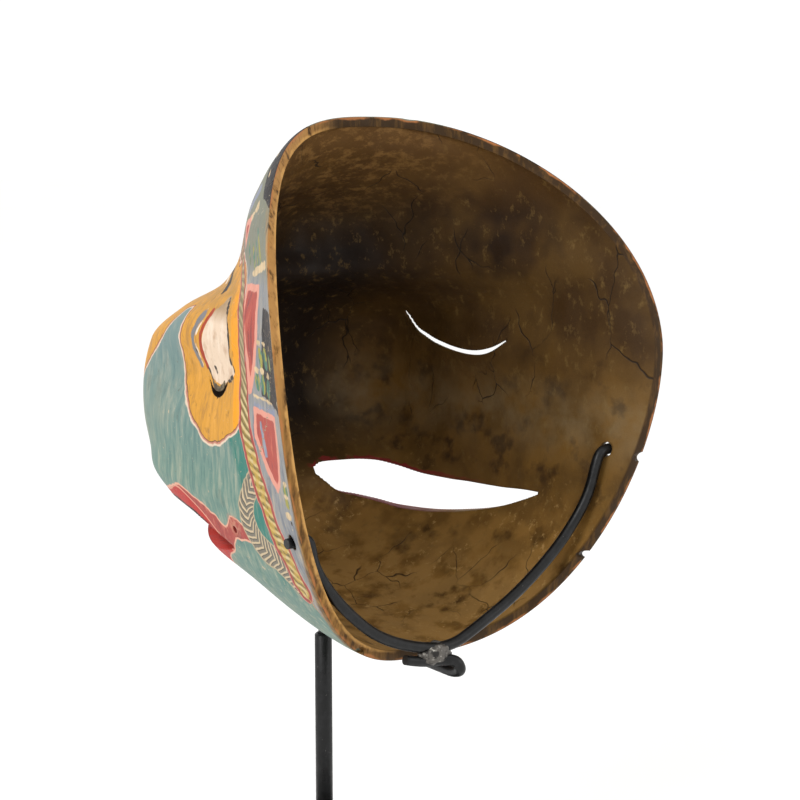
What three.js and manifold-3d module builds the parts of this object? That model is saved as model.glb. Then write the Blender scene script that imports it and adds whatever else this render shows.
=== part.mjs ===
import * as THREE from "three";
import { mergeVertices } from "three/addons/utils/BufferGeometryUtils.js";
import Module from "manifold-3d";

// Painted wooden dance mask with a deep, hollow face, hung on a bent steel display stand.
// Millimetres. +Z is up, the face looks towards -Y, +X is the wearer's left.
// The origin is the middle of the lower face of the felt under the base.

// Driving dimensions: mask shell
const RIM_HEIGHT = 250; // inside edge of the rim, crown to chin
const RIM_HALF = 108; // inside edge of the rim, half its greatest width
const WIDEST_Z = 21; // height of the widest place above the middle of the rim
const WALL = 4.8; // thickness of the carved wall
const SIDE_SWEEP = 84.6; // how far the side edges reach behind the crown and the chin
const RIM_LEAN = 25.6; // how much further forward the crown is than the chin, each way
const RIM_BOW = 13; // bow of the rim between crown and chin
const FACE_HALF = 92; // half width of the face in front of the flared border
const FACE_SWELL = 125; // how far the cheeks stand in front of the rim's middle line
const SOCKET = 10; // how far the wall is drawn in round each eye
const FLARE = 34; // depth over which the border flares out to the rim
const BRIDGE_Y = -70; // the upright axis that the eyes and the mouth are laid out around
const ROWS = 42;
const OUTER_COLUMNS = 50;
const INNER_COLUMNS = 22;

// Driving dimensions: openings
const MOUTH_Z = -65; // the upper edge of the mouth, half way round
const MOUTH_GAPE = 16; // greatest height of the mouth
const MOUTH_BRIDGE = 11; // angles round the bridge axis, in degrees
const MOUTH_END = 95; // the right half runs on round the cheek
const MOUTH_SHORT_END = 75; // the left half stops short of its corner
const EYE_INNER = 38; // the right eye slit runs right under the eye, the left one is short
const EYE_OUTER = 76;
const SHORT_EYE_INNER = 66;
const SHORT_EYE_OUTER = 81;
const SLIT = 2.6;
const HOLE_Y = -23;
const HOLE_LEFT_Z = -57;
const HOLE_RIGHT_Z = -34;

// Driving dimensions: stand
const MASK_Z = 280; // height of the middle of the rim above the table
const MASK_Y = 118;
const ROD_RADIUS = 2.7;
const HOLE_RADIUS = ROD_RADIUS + 1; // the cord holes, a loose fit on the rod
const ARM_RADIUS = 2.7;
const POST_Y = -138;
const POST_BORE = ARM_RADIUS + 0.4; // the stem turns freely in it
const POST_RADIUS = POST_BORE + 1.5;
const ARM_DROP = 7.2; // from the arm down to the top of the post
const STEM = 44; // length of the stem inside the post
const PLATE_SIDE = 140;
const PLATE = 8;
const FELT = 1.8;
const BORE_DEPTH = 62;
const SCREW_RADIUS = 2.5;
const SCREW_HEAD = SCREW_RADIUS + 2.3;
const SCREW_REACH = 16;

const wasm = await Module();
wasm.setup();
const rad = THREE.MathUtils.degToRad;

function toSolid(geometry) {
  const bare = geometry.clone();
  for (const name of ["normal", "uv"]) bare.deleteAttribute(name);
  const merged = mergeVertices(bare, 1e-4);
  return new wasm.Manifold(
    new wasm.Mesh({
      numProp: 3,
      vertProperties: merged.attributes.position.array,
      triVerts: new Uint32Array(merged.index.array),
    }),
  );
}

function toGeometry(solid) {
  const mesh = solid.getMesh();
  const geometry = new THREE.BufferGeometry();
  geometry.setAttribute(
    "position",
    new THREE.BufferAttribute(mesh.vertProperties, mesh.numProp),
  );
  geometry.setIndex(new THREE.BufferAttribute(mesh.triVerts, 1));
  geometry.computeVertexNormals();
  return geometry;
}

// A smooth curve through a few stations, each a [height, value] pair, highest first.
function through(stations, z) {
  const last = stations.length - 1;
  if (z >= stations[0][0]) return stations[0][1];
  if (z <= stations[last][0]) return stations[last][1];
  const i = stations.findIndex((s, k) => k < last && z > stations[k + 1][0]);
  const slope = (k) => {
    const a = stations[Math.max(0, k - 1)];
    const b = stations[Math.min(last, k + 1)];
    return (b[1] - a[1]) / (b[0] - a[0]);
  };
  const [z0, v0] = stations[i];
  const [z1, v1] = stations[i + 1];
  const h = z1 - z0;
  const t = (z - z0) / h;
  return (
    v0 * (1 + 2 * t) * (1 - t) ** 2 +
    slope(i) * h * t * (1 - t) ** 2 +
    v1 * t * t * (3 - 2 * t) +
    slope(i + 1) * h * t * t * (t - 1)
  );
}

const bump = (v, centre, half) => Math.exp(-(((v - centre) / half) ** 2));

// Half width of the rim at a height, and how far back it lies there.
function rimHalf(z, grow) {
  const reach = z > WIDEST_Z ? RIM_HEIGHT / 2 + grow - WIDEST_Z : RIM_HEIGHT / 2 + grow + WIDEST_Z;
  const k = Math.min(1, Math.abs(z - WIDEST_Z) / reach);
  const [p, q] = z > WIDEST_Z ? [2.05, 2.42] : [1.63, 2.43];
  return (RIM_HALF + grow) * (1 - k ** p) ** (1 / q);
}

function rimDepth(z, grow) {
  const t = z / (RIM_HEIGHT / 2 + grow);
  const share = rimHalf(z, grow) / (RIM_HALF + grow);
  return -RIM_LEAN * t + RIM_BOW * t * t + SIDE_SWEEP * (share * share - 1);
}

// How far the middle of the face stands in front of the rim, down its height.
const SWELL = [
  [1, 0],
  [0.9, 9],
  [0.8, 28],
  [0.65, 59],
  [0.5, 68],
  [0.38, 66],
  [0.28, 91],
  [0.16, 107],
  [0, 120],
  [-0.2, 125],
  [-0.4, 117],
  [-0.52, 106],
  [-0.7, 112],
  [-0.82, 97],
  [-0.92, 62],
  [-1, 0],
];

// Squareness of the horizontal sections: 2 is an ellipse, more is boxier.
const SQUARENESS = [
  [1, 1.6],
  [0.5, 1.7],
  [0.36, 2.3],
  [0.26, 3.4],
  [0.14, 5],
  [-0.5, 5],
  [-0.62, 2.9],
  [-0.78, 1.9],
  [-1, 1.8],
];

// One point of the plain face: height share t, and angle a from the left edge to the front.
function skin(t, a, grow) {
  const z = t * (RIM_HEIGHT / 2 + grow);
  const edge = rimHalf(z, grow);
  const back = rimDepth(z, grow);
  const face = (edge * FACE_HALF) / (edge ** 8 + FACE_HALF ** 8) ** 0.125;
  const swell = (through(SWELL, t) * FACE_SWELL) / 125 + grow * Math.sqrt(Math.max(0, 1 - t * t));
  const front = RIM_BOW * t * t - RIM_LEAN * t - SIDE_SWEEP - swell;
  const power = 2 / through(SQUARENESS, t);
  const y = back - (back - front) * Math.sin(a) ** power;
  const socket = SOCKET * bump(z, 14, 20) * bump(y, -122, 40);
  const half = face + (edge - face) * Math.exp((y - back) / FLARE) - socket;
  return new THREE.Vector3(half * Math.cos(a) ** power, y, z);
}

// A row of points from the wearer's left edge round the front to the right edge, evenly spaced.
function skinRow(t, columns, grow) {
  const fine = Array.from({ length: 91 }, (_, k) => {
    const s = (k / 90) ** 3;
    return skin(t, ((Math.PI / 2) * s) / (s + (1 - k / 90) ** 3), grow);
  });
  fine[90].x = 0;
  const run = [0];
  for (let k = 1; k <= 90; k++) run.push(run[k - 1] + fine[k].distanceTo(fine[k - 1]));
  const half = [];
  for (let j = 0; j <= columns / 2; j++) {
    const want = (run[90] * j) / (columns / 2);
    const k = Math.max(1, run.findIndex((r) => r >= want - 1e-9));
    const share = run[k] > run[k - 1] ? (want - run[k - 1]) / (run[k] - run[k - 1]) : 0;
    half.push(fine[k - 1].clone().lerp(fine[k], share));
  }
  const other = half.slice(0, -1).reverse();
  return [...half, ...other.map((p) => new THREE.Vector3(-p.x, p.y, p.z))];
}

// The bridge and tip of the nose, down its height.
const NOSE = [
  [58, 0],
  [42, 4],
  [20, 11],
  [0, 18],
  [-12, 21],
  [-23, 16],
  [-33, 4],
  [-42, 0],
];

// Carved relief of the front: nose and its wings, brow, lips, chin and the eyeballs.
function relief(p) {
  const turn = Math.abs(Math.atan2(p.x, BRIDGE_Y - p.y)) * (180 / Math.PI);
  const lip = (z) => bump(turn / 62, 0, 1) * bump(p.z, z, 8);
  return (
    through(NOSE, p.z) * bump(p.x, 0, 18 - p.z * 0.1) +
    8 * bump(Math.abs(p.x), 20, 9) * bump(p.z, -19, 10) +
    5 * bump(Math.abs(p.x), 36, 24) * bump(p.z, 51, 9) +
    4.5 * lip(MOUTH_Z + 17) +
    5.5 * lip(MOUTH_Z - 19) +
    6 * bump(turn, 57, 15) * bump(p.z, 22, 14) +
    5 * bump(p.x, 0, 26) * bump(p.z, -104, 12)
  );
}

function maskWall() {
  const outer = [];
  const inner = [];
  for (let i = 0; i <= ROWS; i++) {
    const t = Math.cos((Math.PI * i) / ROWS);
    outer.push(
      skinRow(t, OUTER_COLUMNS, WALL).map((p) => {
        const away = new THREE.Vector3(p.x, p.y - BRIDGE_Y, 0).normalize();
        return p.addScaledVector(away, p.y < BRIDGE_Y ? relief(p) : 0);
      }),
    );
    inner.push(skinRow(t, INNER_COLUMNS, 0));
  }
  const points = [];
  const quad = (a, b, c, d) => points.push(a, b, c, a, c, d);
  for (let i = 0; i < ROWS; i++) {
    for (let j = 0; j < OUTER_COLUMNS; j++)
      quad(outer[i][j], outer[i][j + 1], outer[i + 1][j + 1], outer[i + 1][j]);
    for (let j = 0; j < INNER_COLUMNS; j++)
      quad(inner[i][j], inner[i + 1][j], inner[i + 1][j + 1], inner[i][j + 1]);
    quad(outer[i][0], outer[i + 1][0], inner[i + 1][0], inner[i][0]);
    const [m, n] = [OUTER_COLUMNS, INNER_COLUMNS];
    quad(inner[i][n], inner[i + 1][n], outer[i + 1][m], outer[i][m]);
  }
  return toSolid(new THREE.BufferGeometry().setFromPoints(points));
}

// A cutter that wraps round the bridge axis between two angles, with a height range per angle.
function wrapCutter(from, to, steps, range) {
  const points = [];
  const ring = (k) => {
    const angle = from + ((to - from) * k) / steps;
    const [low, high] = range(angle);
    const at = (r, z) =>
      new THREE.Vector3(r * Math.sin(rad(angle)), BRIDGE_Y - r * Math.cos(rad(angle)), z);
    return [at(30, low), at(230, low), at(230, high), at(30, high)];
  };
  for (let k = 0; k < steps; k++) {
    const [a, b] = [ring(k), ring(k + 1)];
    for (let s = 0; s < 4; s++) {
      const n = (s + 1) % 4;
      points.push(a[s], b[n], a[n], a[s], b[s], b[n]);
    }
  }
  const [first, last] = [ring(0), ring(steps)];
  points.push(first[0], first[1], first[2], first[0], first[2], first[3]);
  points.push(last[0], last[2], last[1], last[0], last[3], last[2]);
  return toSolid(new THREE.BufferGeometry().setFromPoints(points));
}

// Upper and lower edges of the two halves of the mouth, from the outer end in to the bridge of
// wood in the middle: share of the way round, and height above MOUTH_Z as a share of the gape.
const LONG_MOUTH = {
  top: [
    [1, 0.18],
    [0.93, 0.17],
    [0.8, 0.08],
    [0.64, 0.03],
    [0.54, 0],
    [0.45, 0.04],
    [0.37, 0.23],
    [0.31, 0.37],
    [0.21, 0.44],
    [0.14, 0.44],
    [0.116, 0.34],
  ],
  low: [
    [1, 0.1],
    [0.94, -0.13],
    [0.82, -0.51],
    [0.68, -0.8],
    [0.52, -1],
    [0.385, -1],
    [0.32, -0.88],
    [0.25, -0.72],
    [0.19, -0.53],
    [0.155, -0.22],
    [0.116, 0.16],
  ],
};
const SHORT_MOUTH = {
  top: [
    [1, -0.44],
    [0.9, -0.2],
    [0.8, 0.02],
    [0.7, 0.24],
    [0.5, 0.4],
    [0.2, 0.44],
    [0.147, 0.34],
  ],
  low: [
    [1, -0.54],
    [0.9, -0.75],
    [0.7, -0.97],
    [0.5, -1],
    [0.32, -0.72],
    [0.2, -0.3],
    [0.147, 0.16],
  ],
};

function mouthCutter(side, end, edges) {
  const span = [side * MOUTH_BRIDGE, side * end].sort((a, b) => a - b);
  return wrapCutter(span[0], span[1], 26, (angle) => {
    const share = Math.abs(angle) / end;
    return [edges.low, edges.top].map((edge) => MOUTH_Z + MOUTH_GAPE * through(edge, share));
  });
}

// The little pit at the corner of the left half.
function cornerHole() {
  const cutter = new THREE.CylinderGeometry(1.8, 1.8, 40, 14);
  cutter.rotateZ(Math.PI / 2);
  cutter.translate(FACE_HALF, BRIDGE_Y - 14, MOUTH_Z + 2.4);
  return toSolid(cutter);
}

// The sagging line of an eye slit: share of the way round, and height.
const LONG_EYE = [
  [1, 14],
  [0.83, 8.5],
  [0.65, 5.8],
  [0.45, 6],
  [0.24, 8.7],
  [0.16, 11.1],
  [0.08, 14.8],
  [0, 24],
];
const SHORT_EYE = [
  [1, 7],
  [0.75, 2],
  [0.45, 0.5],
  [0.2, 2],
  [0, 6],
];

function eyeCutter(from, to, line) {
  const span = [from, to].sort((a, b) => a - b);
  return wrapCutter(span[0], span[1], 16, (angle) => {
    const middle = through(line, (angle - from) / (to - from));
    return [middle - SLIT / 2, middle + SLIT / 2];
  });
}

// The rods follow the rim, so they are laid out as shares of its size, and a thicker one is
// drawn in from the wall.
const wide = (RIM_HALF + 2.7 - ROD_RADIUS) / 108;
const tall = RIM_HEIGHT / 250;
const rodAt = (x, y, z) => [x * wide, y, z * tall];
const axle = (x) => {
  const share = (x + 100) / 200;
  const z = HOLE_RIGHT_Z + share * (HOLE_LEFT_Z - HOLE_RIGHT_Z);
  return [x * wide, HOLE_Y, z * tall];
};

function cordHole(side) {
  const cutter = new THREE.CylinderGeometry(HOLE_RADIUS, HOLE_RADIUS, 60, 20);
  cutter.rotateZ(Math.PI / 2);
  const [from, to] = [axle(-100), axle(100)];
  cutter.rotateY(-Math.atan2(to[2] - from[2], to[0] - from[0]));
  cutter.translate(...axle(side * 100));
  return toSolid(cutter);
}

function maskShell() {
  const cutters = [
    cordHole(1),
    cordHole(-1),
    cornerHole(),
    mouthCutter(1, MOUTH_SHORT_END, SHORT_MOUTH),
    mouthCutter(-1, MOUTH_END, LONG_MOUTH),
    eyeCutter(SHORT_EYE_INNER, SHORT_EYE_OUTER, SHORT_EYE),
    eyeCutter(-EYE_INNER, -EYE_OUTER, LONG_EYE),
  ];
  return toGeometry(cutters.reduce((wood, cutter) => wood.subtract(cutter), maskWall()));
}

// A path that rounds every corner of a bent rod, with straight ends.
function bentPath(corners) {
  const at = corners.map((c) => new THREE.Vector3(...c));
  const halfway = at.slice(1).map((p, i) => p.clone().lerp(at[i], 0.5));
  const path = new THREE.CurvePath();
  path.add(new THREE.LineCurve3(at[0], halfway[0]));
  for (let i = 1; i < at.length - 1; i++)
    path.add(new THREE.QuadraticBezierCurve3(halfway[i - 1], at[i], halfway[i]));
  path.add(new THREE.LineCurve3(halfway[halfway.length - 1], at[at.length - 1]));
  return path;
}

function roundRod(corners, radius, steps) {
  const section = new THREE.Shape().absarc(0, 0, radius, 0, 2 * Math.PI);
  return new THREE.ExtrudeGeometry(section, {
    steps,
    curveSegments: 6,
    bevelEnabled: false,
    extrudePath: bentPath(corners),
  });
}

// The cross rod: both ends pass out through the cord holes, the middle hangs behind the chin.
const CROSS_ROD = [
  axle(-105),
  axle(-96),
  axle(-90.5),
  rodAt(-87.5, -23, -41),
  rodAt(-83, -23, -56),
  rodAt(-74, -24, -70),
  rodAt(-60, -24, -84),
  rodAt(-38, -25, -101),
  rodAt(-12, -25, -114),
  rodAt(2, -25, -120),
  rodAt(20, -25, -118),
  rodAt(44, -25, -109),
  rodAt(62, -24, -94),
  rodAt(74, -24, -80),
  rodAt(81, -24, -68),
  rodAt(83, -23, -58.5),
  axle(85.5),
  axle(91),
  axle(95.5),
];

const ARM_Z = -RIM_HEIGHT / 2 - WALL - ARM_RADIUS - 0.7; // the chin all but rests on the arm
const POST_TOP = ARM_Z - ARM_DROP;
const LAID = ARM_Z + 2.7 - ROD_RADIUS; // the arm's end lies lower under a thicker cross rod

// The arm: stem in the post, bend, run under the chin, loop, and the end laid under the cross rod.
const ARM_ROD = [
  [0, POST_Y, POST_TOP - STEM],
  [0, POST_Y, ARM_Z - 9.8],
  [0, POST_Y, ARM_Z - 4],
  [0, POST_Y + 4, ARM_Z],
  [0, POST_Y + 9.8, ARM_Z],
  [0, -60, ARM_Z],
  [0, -34, ARM_Z],
  [0, -25, ARM_Z],
  [0.5, -18.5, ARM_Z + 2.6],
  [3, -19.5, LAID + 8.2],
  [10, -24, LAID + 8.1],
  [20, -25.3, LAID + 8.7],
  [29, -25.3, LAID + 11.2],
];

function weldBead() {
  const blob = new THREE.SphereGeometry(1, 16, 9);
  blob.scale(10, ROD_RADIUS + 3.3, 6.6);
  blob.translate(12 * wide, -25.2, ARM_Z + 11.3);
  const gap = 0.3;
  return toGeometry(
    toSolid(blob)
      .subtract(toSolid(roundRod(CROSS_ROD, ROD_RADIUS + gap, 56)))
      .subtract(toSolid(roundRod(ARM_ROD, ARM_RADIUS + gap, 72))),
  );
}

const POST_FOOT = PLATE + FELT - MASK_Z; // top of the base plate, from the middle of the rim

function postTube() {
  const height = POST_TOP - POST_FOOT - 0.3;
  const bore = height - BORE_DEPTH;
  return new THREE.LatheGeometry(
    [
      [0, SCREW_REACH + 2],
      [SCREW_RADIUS + 0.3, SCREW_REACH + 2],
      [SCREW_RADIUS + 0.3, 0],
      [POST_RADIUS, 0],
      [POST_RADIUS, height - 0.6],
      [POST_RADIUS - 0.6, height],
      [POST_BORE, height],
      [POST_BORE, bore],
      [0, bore],
    ].map((p) => new THREE.Vector2(...p)),
    24,
  ).rotateX(Math.PI / 2);
}

function roundedSquare(side, corner) {
  const h = side / 2 - corner;
  const shape = new THREE.Shape();
  shape.absarc(h, h, corner, 0, Math.PI / 2);
  shape.absarc(-h, h, corner, Math.PI / 2, Math.PI);
  shape.absarc(-h, -h, corner, Math.PI, 1.5 * Math.PI);
  shape.absarc(h, -h, corner, 1.5 * Math.PI, 2 * Math.PI);
  return shape;
}

function basePlate() {
  const edge = 0.8;
  const plate = new THREE.ExtrudeGeometry(roundedSquare(PLATE_SIDE - 2 * edge, 4), {
    depth: PLATE - 2 * edge,
    curveSegments: 5,
    bevelThickness: edge,
    bevelSize: edge,
    bevelSegments: 1,
  }).translate(0, 0, edge);
  const seat = new THREE.LatheGeometry(
    [
      [0, -1],
      [SCREW_HEAD + 0.3, -1],
      [SCREW_HEAD + 0.3, 1],
      [SCREW_RADIUS + 0.3, 1 + SCREW_HEAD - SCREW_RADIUS],
      [SCREW_RADIUS + 0.3, PLATE + 1],
      [0, PLATE + 1],
    ].map((p) => new THREE.Vector2(...p)),
    20,
  )
    .rotateX(Math.PI / 2)
    .translate(0, POST_Y + MASK_Y, 0);
  return toGeometry(toSolid(plate).subtract(toSolid(seat)));
}

function baseScrew() {
  return new THREE.LatheGeometry(
    [
      [0, 0.3],
      [SCREW_HEAD, 0.3],
      [SCREW_HEAD, 0.9],
      [SCREW_RADIUS, 0.9 + SCREW_HEAD - SCREW_RADIUS],
      [SCREW_RADIUS, PLATE + SCREW_REACH],
      [0, PLATE + SCREW_REACH],
    ].map((p) => new THREE.Vector2(...p)),
    20,
  ).rotateX(Math.PI / 2);
}

const steel = new THREE.MeshStandardMaterial({ color: 0x1b1a1b, roughness: 0.55, metalness: 0.6 });

function piece(name, geometry, material, x, y, z) {
  const mesh = new THREE.Mesh(geometry, material);
  mesh.name = name;
  mesh.position.set(x, y, z);
  return mesh;
}

const paint = new THREE.MeshStandardMaterial({ color: 0x5f8f92, roughness: 0.6, metalness: 0 });
const mask = new THREE.Group();
mask.position.set(0, MASK_Y, MASK_Z);
mask.add(piece("mask_shell", maskShell(), paint, 0, 0, 0));

const hanger = new THREE.Group();
hanger.position.copy(mask.position);
hanger.add(piece("cross_rod", roundRod(CROSS_ROD, ROD_RADIUS, 56), steel, 0, 0, 0));
hanger.add(piece("arm_rod", roundRod(ARM_ROD, ARM_RADIUS, 72), steel.clone(), 0, 0, 0));
const braze = new THREE.MeshStandardMaterial({ color: 0x6f6c66, roughness: 0.5, metalness: 0.7 });
hanger.add(piece("weld_bead", weldBead(), braze, 0, 0, 0));

const stand = new THREE.Group();
const postSteel = steel.clone();
stand.add(piece("post_tube", postTube(), postSteel, 0, POST_Y + MASK_Y, FELT + PLATE + 0.3));
stand.add(piece("base_plate", basePlate(), steel.clone(), 0, 0, FELT));
const zinc = new THREE.MeshStandardMaterial({ color: 0x9a9c9e, roughness: 0.35, metalness: 1 });
stand.add(piece("base_screw", baseScrew(), zinc, 0, POST_Y + MASK_Y, FELT));
const felt = new THREE.ExtrudeGeometry(roundedSquare(PLATE_SIDE - 4, 4), {
  depth: FELT - 0.3,
  curveSegments: 5,
  bevelEnabled: false,
});
const cloth = new THREE.MeshStandardMaterial({ color: 0x2b2b2d, roughness: 0.95, metalness: 0 });
stand.add(piece("base_felt", felt, cloth, 0, 0, 0));

const part = new THREE.Group();
part.add(mask, hanger, stand);
export default part;
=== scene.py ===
import math

import bmesh
import bpy
import numpy as np
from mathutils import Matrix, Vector, kdtree, noise


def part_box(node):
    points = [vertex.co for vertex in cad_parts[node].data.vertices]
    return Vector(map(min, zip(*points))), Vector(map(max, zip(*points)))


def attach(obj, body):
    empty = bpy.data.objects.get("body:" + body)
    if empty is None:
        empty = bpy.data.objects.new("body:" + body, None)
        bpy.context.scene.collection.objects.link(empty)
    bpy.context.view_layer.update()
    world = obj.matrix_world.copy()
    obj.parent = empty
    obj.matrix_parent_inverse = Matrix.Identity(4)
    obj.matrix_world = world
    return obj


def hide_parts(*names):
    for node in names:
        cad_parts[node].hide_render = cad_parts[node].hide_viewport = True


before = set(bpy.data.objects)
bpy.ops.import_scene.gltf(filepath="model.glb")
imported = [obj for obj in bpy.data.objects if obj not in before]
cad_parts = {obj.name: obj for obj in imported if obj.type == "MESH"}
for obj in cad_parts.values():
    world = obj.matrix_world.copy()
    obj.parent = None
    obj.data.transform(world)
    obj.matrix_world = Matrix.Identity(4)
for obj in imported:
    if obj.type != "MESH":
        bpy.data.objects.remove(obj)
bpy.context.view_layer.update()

# --- Studio -----------------------------------------------------------------------------------
# A white table top and white room, one large soft lamp high on the painted side of the mask and
# a weak one opposite. The camera stands behind the wearer's left shoulder and looks into the mask.
scene = bpy.context.scene
scene.view_settings.view_transform = "Standard"


def linear(colour):
    """A sRGB hex colour as linear red, green, blue and full alpha."""
    parts = [int(colour[i : i + 2], 16) / 255 for i in (1, 3, 5)]
    return [p / 12.92 if p <= 0.04045 else ((p + 0.055) / 1.055) ** 2.4 for p in parts] + [1.0]


def material(name):
    """A new material with nothing in it yet, and its node tree."""
    made = bpy.data.materials.new(name)
    made.use_nodes = True
    made.node_tree.nodes.clear()
    return made, made.node_tree


def add(tree, kind, inputs=None, out=0, **settings):
    """Adds a node with its settings, and links or sets each of its inputs."""
    made = tree.nodes.new("ShaderNode" + kind)
    for name, value in settings.items():
        setattr(made, name, value)
    for name, value in (inputs or {}).items():
        if isinstance(value, bpy.types.NodeSocket):
            tree.links.new(value, made.inputs[name])
        else:
            made.inputs[name].default_value = value
    return made.outputs[out]


def coat(tree, shader):
    """Makes this shader the material's surface."""
    tree.links.new(shader, tree.nodes.new("ShaderNodeOutputMaterial").inputs["Surface"])


def piece(name, mesh, *materials):
    """A new object for a finished mesh, with its materials."""
    made = bpy.data.objects.new(name, mesh)
    scene.collection.objects.link(made)
    for m in materials:
        mesh.materials.append(m)
    return made


table_paint, tree = material("matt white table paint")
tone = add(tree, "TexNoise", {"Vector": add(tree, "TexCoord", out=3), "Scale": 3.0, "Detail": 2.0})
shade = add(tree, "MixRGB", {0: tone, 1: linear("#f4f4f3"), 2: linear("#f7f7f6")})
coat(tree, add(tree, "BsdfPrincipled",
               {"Base Color": shade, "Roughness": 0.9, "Specular IOR Level": 0.1}))

bm = bmesh.new()
bmesh.ops.create_grid(bm, x_segments=8, y_segments=8, size=12.0)
mesh = bpy.data.meshes.new("table_top")
bm.to_mesh(mesh)
bm.free()
piece("table_top", mesh, table_paint)

world = bpy.data.worlds.new("white room")
world.use_nodes = True
world.node_tree.nodes["Background"].inputs["Color"].default_value = (1.0, 1.0, 1.0, 1.0)
world.node_tree.nodes["Background"].inputs["Strength"].default_value = 1.1
scene.world = world

AIM = Vector((0.0327, 0.0937, 0.2818))
AZIMUTH, ELEVATION, DISTANCE = math.radians(143.82), math.radians(8.86), 0.8019
towards = Vector((math.sin(AZIMUTH) * math.cos(ELEVATION),
                  -math.cos(AZIMUTH) * math.cos(ELEVATION), math.sin(ELEVATION)))
camera = bpy.data.objects.new("camera", bpy.data.cameras.new("camera"))
camera.data.lens, camera.data.sensor_width = 79.15, 36.0
camera.data.clip_end = 40.0
camera.location = AIM + towards * DISTANCE
camera.rotation_euler = towards.to_track_quat("Z", "Y").to_euler()
scene.collection.objects.link(camera)
scene.camera = camera


def lamp(name, at, size, watts):
    """A soft square lamp that shines on the mask."""
    light = bpy.data.lights.new(name, "AREA")
    light.size, light.energy = size, watts
    made = bpy.data.objects.new(name, light)
    made.location = at
    made.rotation_euler = (Vector(at) - AIM).to_track_quat("Z", "Y").to_euler()
    scene.collection.objects.link(made)


lamp("key_lamp", (1.5, 0.35, 1.35), 0.9, 16)
lamp("fill_lamp", (-0.9, 1.6, 0.9), 0.8, 4)

# --- Mask shell -------------------------------------------------------------------------------
# One block of light wood, carved hollow to a wall of about 5 mm with gouges and rasp, then coated
# with gesso and painted outside. Lengths in this section are millimetres from the middle of the rim.
HALF_HEIGHT, RIM_HALF, WIDEST_Z, WALL = 125.0, 108.0, 21.0, 4.8
SIDE_SWEEP, RIM_LEAN, RIM_BOW = 84.6, 25.6, 13.0
FACE_HALF, SOCKET, FLARE, BRIDGE_Y = 92.0, 10.0, 34.0, -70.0
MIDDLE = Vector((0.0, 118.0, 280.0))
COLUMNS, ROWS = 250, 190
SWELL = [(1, 0), (0.9, 9), (0.8, 28), (0.65, 59), (0.5, 68), (0.38, 66), (0.28, 91), (0.16, 107),
         (0, 120), (-0.2, 125), (-0.4, 117), (-0.52, 106), (-0.7, 112), (-0.82, 97), (-0.92, 62), (-1, 0)]
SQUARENESS = [(1, 1.6), (0.5, 1.7), (0.36, 2.3), (0.26, 3.4), (0.14, 5), (-0.5, 5), (-0.62, 2.9),
              (-0.78, 1.9), (-1, 1.8)]
NOSE = [(58, 0), (42, 4), (20, 11), (0, 18), (-12, 21), (-23, 16), (-33, 4), (-42, 0)]


def through(stations, at):
    """A smooth curve through a few (place, value) stations, highest place first."""
    x, v = np.array(stations, float)[::-1].T
    k = np.arange(len(x))
    lo, hi = np.maximum(k - 1, 0), np.minimum(k + 1, len(x) - 1)
    slope = (v[hi] - v[lo]) / (x[hi] - x[lo])
    at = np.clip(at, x[0], x[-1])
    i = np.clip(np.searchsorted(x, at) - 1, 0, len(x) - 2)
    h = x[i + 1] - x[i]
    t = (at - x[i]) / h
    return (v[i] * (1 + 2 * t) * (1 - t) ** 2 + slope[i] * h * t * (1 - t) ** 2
            + v[i + 1] * t * t * (3 - 2 * t) + slope[i + 1] * h * t * t * (t - 1))


def swell(v, centre, half):
    return np.exp(-(((v - centre) / half) ** 2))


def skin_rows(grow):
    """Points of the plain face, one row per height, evenly spaced from the left edge to the right,
    and the distance of each from the nearer edge along its row."""
    t = np.cos(np.pi * np.arange(ROWS + 1) / ROWS)[:, None]
    z = t * (HALF_HEIGHT + grow)
    up = z > WIDEST_Z
    reach = HALF_HEIGHT + grow + np.where(up, -WIDEST_Z, WIDEST_Z)
    k = np.minimum(1, np.abs(z - WIDEST_Z) / reach)
    edge = (RIM_HALF + grow) * (1 - k ** np.where(up, 2.05, 1.63)) ** (1 / np.where(up, 2.42, 2.43))
    back = -RIM_LEAN * t + RIM_BOW * t * t + SIDE_SWEEP * ((edge / (RIM_HALF + grow)) ** 2 - 1)
    face = edge * FACE_HALF / (edge**8 + FACE_HALF**8) ** 0.125
    front = (RIM_BOW * t * t - RIM_LEAN * t - SIDE_SWEEP - through(SWELL, t)
             - grow * np.sqrt(np.maximum(0, 1 - t * t)))
    share = (np.arange(301) / 300) ** 3
    a = (math.pi / 2) * share / (share + (1 - np.arange(301) / 300) ** 3)
    power = 2 / through(SQUARENESS, t)
    y = back - (back - front) * np.sin(a) ** power
    socket = SOCKET * swell(z, 14, 20) * swell(y, -122, 40)
    half = face + (edge - face) * np.exp((y - back) / FLARE) - socket
    x = half * np.maximum(np.cos(a), 0) ** power
    x[:, -1] = 0
    rows = np.stack([x, y, z + 0 * y], -1)
    run = np.cumsum(np.hypot(np.diff(x), np.diff(y)), axis=1)
    run = np.hstack([np.zeros((ROWS + 1, 1)), run])
    points = np.zeros((ROWS + 1, COLUMNS + 1, 3))
    from_edge = np.zeros((ROWS + 1, COLUMNS + 1))
    want = np.linspace(0, 1, COLUMNS // 2 + 1)
    for i in range(ROWS + 1):
        half_row = np.stack([np.interp(want * run[i, -1], run[i], rows[i, :, c]) for c in range(3)], -1)
        points[i] = np.vstack([half_row, half_row[-2::-1] * [-1, 1, 1]])
        lengths = want * run[i, -1]
        from_edge[i] = np.hstack([lengths, lengths[-2::-1]])
    return points, from_edge


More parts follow.
